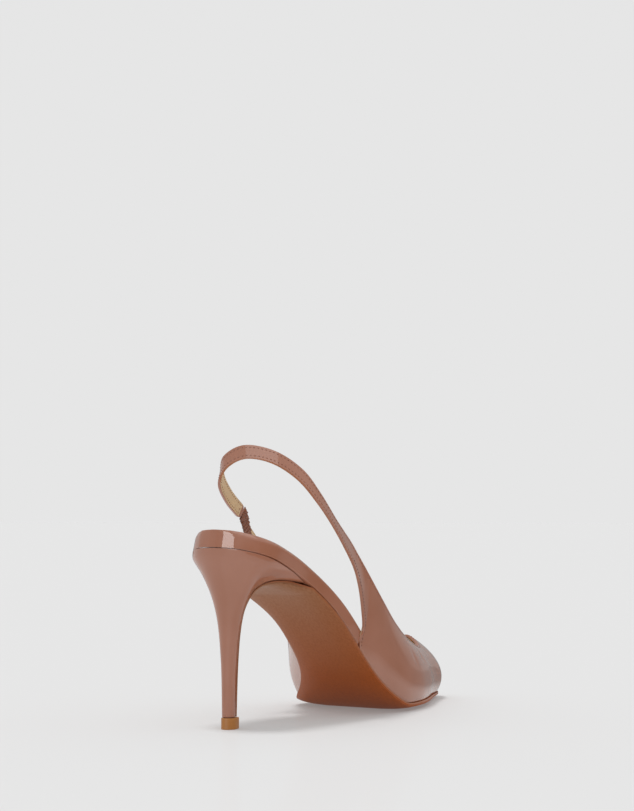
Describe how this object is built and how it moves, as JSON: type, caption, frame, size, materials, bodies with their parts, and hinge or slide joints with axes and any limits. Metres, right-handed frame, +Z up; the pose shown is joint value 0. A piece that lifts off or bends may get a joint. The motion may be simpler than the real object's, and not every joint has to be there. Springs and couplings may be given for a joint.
{
  "type": "slingback pump",
  "caption": "Pointed slingback pump for the right foot, with a slim high heel, a wrapped footbed rim and a heel strap with a short elastic.",
  "frame": {"origin": "middle of the shoe's bounding box, on the floor it stands on", "axes": "+X to the toe, +Y to the inner side of the foot, +Z up"},
  "size_m": [0.2374, 0.0818, 0.1484],
  "materials": {
    "patent_leather": "gloss",
    "kid_lining": "matt",
    "sole_leather": "satin",
    "lift_plastic": "satin",
    "elastic_fabric": "gathered"
  },
  "bodies": {
    "root": {"upper": "patent_leather", "elastic_gore": "elastic_fabric", "footbed": "patent_leather", "insole_sock": "kid_lining", "outsole": "sole_leather", "heel": "patent_leather", "top_lift": "lift_plastic"}
  },
  "joints": []
}
